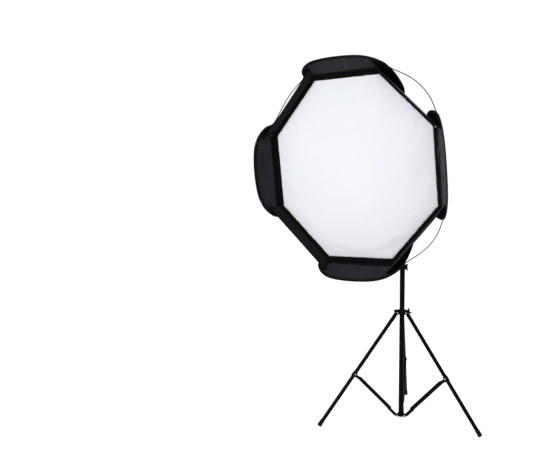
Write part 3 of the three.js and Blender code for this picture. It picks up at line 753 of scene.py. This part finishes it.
def front_diffuser():
    """The white front, held slack enough to wrinkle a little near its edge."""
    outline = []
    count = 240
    hidden = 0.004  # how far the fabric goes under its border
    for i in range(count):
        angle = 2 * math.pi * i / count
        wobble = 0.0011 * noise.noise(Vector((math.cos(angle) * 5, math.sin(angle) * 5, 1.7)))
        radius = octagon_radius(DIFFUSER_APOTHEM + hidden, angle) + wobble
        outline.append((radius * math.cos(angle), radius * math.sin(angle)))
    flat, faces = fill(outline, 0.0125)
    points = []
    for p in flat:
        edge = p.length / octagon_radius(DIFFUSER_APOTHEM + hidden, math.atan2(p.y, p.x))
        swell = 0.004 * (1 - edge * edge)
        points.append((p.x, p.y, swell))
    piece = add_object("front_diffuser_cloth", points, faces, [WHITE])

    def is_pinned(point):
        return point.to_2d().length > octagon_radius(DIFFUSER_APOTHEM, math.atan2(point.y, point.x))

    drape(piece, is_pinned, slack=0.004, reach=0.012)
    solidify(piece, 0.0005)
    attach(piece, "softbox", "white_nylon", "front_diffuser")


def diffuser_border():
    """The hook-and-loop border, a folded tape around the white front; its section is (apothem, depth)."""
    count = 320
    section = [(0.3996, 0.0016), (0.4050, 0.0030), (0.4120, 0.0066), (0.4162, 0.0086)]
    section += [(0.4160, 0.0070), (0.4120, 0.0048), (0.4050, 0.0008), (0.4000, -0.0004)]
    scalloped = (0, 1, 6, 7)  # the section's points along its inner edge
    points = []
    for i in range(count):
        angle = 2 * math.pi * i / count
        direction = Vector((math.cos(angle), math.sin(angle), 0))
        scallop = noise.noise(direction * 14) + 0.5 * noise.noise(direction * 31)
        for k, (apothem, depth) in enumerate(section):
            uneven = 0.0016 * scallop if k in scalloped else 0.0
            radius = octagon_radius(apothem + uneven, angle)
            points.append(direction * radius + Vector((0, 0, depth + 0.0009 * scallop)))
    piece = add_object("diffuser_border_tape", points, hoop_faces(count, len(section)), [LOOP])
    attach(piece, "softbox", "binding_tape", "diffuser_border")


def corner_tack():
    """A short white bar tack where the border's ends meet, in the upper right corner."""
    short_of_corner, distance, depth = 0.018, 0.4470, 0.0125
    place = Matrix.Rotation(EIGHTH - short_of_corner, 4, "Z") @ Matrix.Translation((distance, 0, depth))
    outline = [(0.0001, -0.0008), (0.0024, -0.0008), (0.0027, 0), (0.0024, 0.0008), (0.0001, 0.0008)]
    piece = lathe("corner_tack", outline, [THREAD], SOFTBOX @ place, 12)
    attach(piece, "softbox", "white_nylon")


def catmull_rom(points, steps):
    """A smooth closed path through points."""
    path = []
    count = len(points)
    for i in range(count):
        a, b, c, d = (points[(i + k) % count] for k in (-1, 0, 1, 2))
        for step in range(steps):
            t = step / steps
            blend = 2 * b + (c - a) * t + (2 * a - 5 * b + 4 * c - d) * t**2 + (3 * b - a - 3 * c + d) * t**3
            path.append(blend / 2)
    return path


def ring_wire():
    """The long spring hoop: inside the wings' bindings, and bare where it bows past each corner."""
    points = []
    for quarter in range(4):
        turn = math.radians(90 * quarter)
        for degree in (165, 150, 130, 110, 90, 70, 50, 30, 15):
            point = oval_point(math.radians(degree), 0.002)
            points.append(on_panel(turn, point.x, point.y))
        for off in (-8, 0, 8):
            angle = turn + math.radians(45 + off)
            radius = BOW_RADIUS + BOW_SPREAD[quarter] - BOW_ROUNDING * math.radians(off) ** 2
            depth = BOW_DEPTH + BOW_RISE * math.radians(off) ** 2
            points.append(Vector((radius * math.cos(angle), radius * math.sin(angle), depth)))
    piece = tube("ring_wire", catmull_rom(points, 6), (WIRE_RADIUS, WIRE_RADIUS), [SPRING], True, 10)
    attach(piece, "softbox", "spring_steel", "ring_hoop")


def inner_baffle():
    """The inner diffuser with its bound edge, and four elastic straps to the corner panels."""
    low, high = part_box("inner_diffuser")
    depth = (SOFTBOX.inverted() @ ((low + high) / 2)).z
    count = 160
    outline = []
    for i in range(count):
        angle = 2 * math.pi * i / count
        radius = octagon_radius(BAFFLE_APOTHEM, angle) - 0.006 * math.cos(8 * angle) ** 2
        outline.append((radius * math.cos(angle), radius * math.sin(angle)))
    flat, faces = fill(outline, 0.012)
    points = [(p.x, p.y, depth + 0.004 * noise.noise(Vector((p.x * 9, p.y * 9, 5.5)))) for p in flat]
    piece = add_object("inner_baffle_cloth", points, faces, [WHITE])
    solidify(piece, 0.0006)
    attach(piece, "softbox", "white_nylon", "inner_diffuser")
    edge = [points[i] for i in range(count)]
    attach(tube("inner_baffle_edge", edge, (0.004, 0.0016), [THREAD], True, 8), "softbox", "white_nylon")
    inner_end = BAFFLE_APOTHEM - 0.012
    outer_end = PANEL_APOTHEM + depth / math.tan(PANEL_SLOPE) - 0.009
    steps = 12
    for index in range(4):
        turn = math.radians(45 + 90 * index)
        path = []
        for i in range(steps + 1):
            out = inner_end + (outer_end - inner_end) * i / steps
            path.append(Matrix.Rotation(turn, 3, "Z") @ Vector((out, 0, depth + 0.0015)))
        strap = tube(f"baffle_strap_{index + 1}", path, (0.0075, 0.0011), [BINDING])
        attach(strap, "softbox", "binding_tape")


def ring_cuff():
    """The softbox's gathered rear edge around the speed ring's flange; its section is (radius, depth)."""
    low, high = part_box("rear_collar")
    middle = SOFTBOX.inverted() @ ((low + high) / 2)
    sides = 160
    section = [(0.0972, -0.0078), (0.0988, -0.0086), (0.1004, -0.0070), (0.0998, 0.0), (0.1006, 0.0066)]
    section += [(0.0990, 0.0078), (0.0974, 0.0072), (0.0970, 0.0)]
    gathered = (1, 2, 3, 4, 5)  # the section's points on its outside
    points = []
    for i in range(sides):
        angle = 2 * math.pi * i / sides
        gather = noise.noise(Vector((math.cos(angle) * 12, math.sin(angle) * 12, 9.1)))
        for k, (radius, depth) in enumerate(section):
            radius += 0.0009 * gather if k in gathered else 0.0
            points.append((radius * math.cos(angle), radius * math.sin(angle), middle.z + depth))
    piece = add_object("ring_cuff", points, hoop_faces(sides, len(section)), [BINDING])
    attach(piece, "softbox", "binding_tape", "rear_collar")


def build_softbox():
    for index, side in enumerate(SIDES):
        turn = math.radians(90 * index)
        side_panel(side, turn, index + 1)
        panel_binding(side, turn, index + 1)
        foot_tape_and_shade(side, turn, index + 1)
        corner_panel(CORNERS[index], turn + math.radians(45), index + 11)
        corner_hem(CORNERS[index], turn + math.radians(45), index + 21)
    seam_cords()
    front_diffuser()
    diffuser_border()
    corner_tack()
    ring_wire()
    inner_baffle()
    ring_cuff()


# ------------------------------------------------------------------ hard parts


def close_head(outline, half):
    """A rivet head's outline with its flat under side."""
    level = math.copysign(half, outline[1][1])
    return outline + [(0.0001, level)]


def rivet(kind, number, body, joint):
    """A domed rivet in place of a plain pin, along its joint's axis; a brace's is two separate heads."""
    half = RIVET_HALF_LENGTHS[kind]
    axis = Vector(joint["axis"]).normalized()
    node = f"{kind}_{number}"
    low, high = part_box(node)
    centre = (low + high) / 2
    if kind == "brace_pin":
        centre -= axis * (centre - Vector(joint["pos_m"])).dot(axis)
    place = Matrix.Translation(centre) @ axis.to_track_quat("Z", "Y").to_matrix().to_4x4()
    head = [(0.0046, 0.0), (0.0045, 0.0009), (0.0036, 0.0019), (0.0021, 0.0025), (0.0001, 0.0027)]
    upper = [(radius, half + rise) for radius, rise in head]
    lower = [(radius, -height) for radius, height in reversed(upper)]
    if kind == "brace_pin":
        outlines = {f"{node}_a": close_head(upper, half), f"{node}_b": close_head(lower, half)}
    else:
        shank = [(0.0024, -half), (0.0024, half)]
        outlines = {f"{node}_rivet": lower + shank + upper}
    for name, outline in outlines.items():
        attach(lathe(name, outline, [ZINC], place, 24), body, "bare_steel", node)


def rivets():
    for number in (1, 2, 3):
        rivet("leg_pin", number, "spider", joints[f"leg_{number}_fold"])
        rivet("hub_pin", number, "stand_column", joints[f"brace_{number}_fold"])
        rivet("brace_pin", number, f"brace_{number}", joints[f"brace_{number}_fold"])


def dress_cad_nodes():
    """The hard CAD parts keep their shapes, and get rounded edges and finished materials."""
    finishes = {
        "black_tube": TUBE,
        "black_casting": CASTING,
        "black_plastic": PLASTIC,
        "bare_steel": ZINC,
        "rubber": RUBBER,
    }
    slots = {part["node"]: part["material_slot"] for part in frame["record"]["subparts"]}
    for name, node in nodes.items():
        if node.hide_render:
            continue
        node.data.materials.clear()
        node.data.materials.append(finishes[slots[name]])
        node.data.polygons.foreach_set("use_smooth", [True] * len(node.data.polygons))
        weld(node)
        soften(node, 0.0005)


# ------------------------------------------------------------------ studio


def area_light(name, place, target, size, power):
    light = bpy.data.lights.new(name, "AREA")
    light.shape = "SQUARE"
    light.size = size
    light.energy = power
    made = bpy.data.objects.new(name, light)
    made.location = place
    made.rotation_euler = (Vector(target) - Vector(place)).to_track_quat("-Z", "Y").to_euler()
    bpy.context.scene.collection.objects.link(made)


def sky():
    """A plain white surround, which lights the scene more weakly than it looks."""
    world = bpy.data.worlds.new("sky")
    world.use_nodes = True
    tree = world.node_tree
    background = tree.nodes["Background"]
    background.inputs["Color"].default_value = (0.985, 0.99, 1, 1)
    strength = tree.nodes.new("ShaderNodeMapRange")
    strength.inputs["To Min"].default_value = SKY_LIGHT
    strength.inputs["To Max"].default_value = SKY_SEEN
    tree.links.new(tree.nodes.new("ShaderNodeLightPath").outputs["Is Camera Ray"], strength.inputs["Value"])
    tree.links.new(strength.outputs["Result"], background.inputs["Strength"])
    bpy.context.scene.world = world


def studio():
    """A white floor, three soft lights and a white sky."""
    size = FLOOR_HALF_SIZE
    corners = [(-size, -size, 0), (size, -size, 0), (size, size, 0), (-size, size, 0)]
    floor = add_object("floor", corners, [(0, 1, 2, 3)], [studio_floor()], Matrix.Identity(4))
    area_light("key", (-1.4, -4.6, 2.9), (0, -0.4, 1.2), 2.2, 110)
    area_light("fill", (3.8, -2.4, 2.0), (0, -0.3, 1.0), 1.8, 22)
    area_light("back", (-1.0, 3.6, 3.0), (0, 0, 1.0), 2.4, 30)
    sky()
    bpy.context.scene.view_settings.view_transform = "Standard"


def camera():
    lens = bpy.data.cameras.new("camera")
    lens.lens = CAMERA_LENS
    lens.sensor_width = 36
    made = bpy.data.objects.new("camera", lens)
    made.location = CAMERA_PLACE
    made.rotation_euler = (math.pi / 2 + CAMERA_PITCH, 0, CAMERA_YAW)
    bpy.context.scene.collection.objects.link(made)
    bpy.context.scene.camera = made


build_softbox()
rivets()
dress_cad_nodes()
studio()
camera()
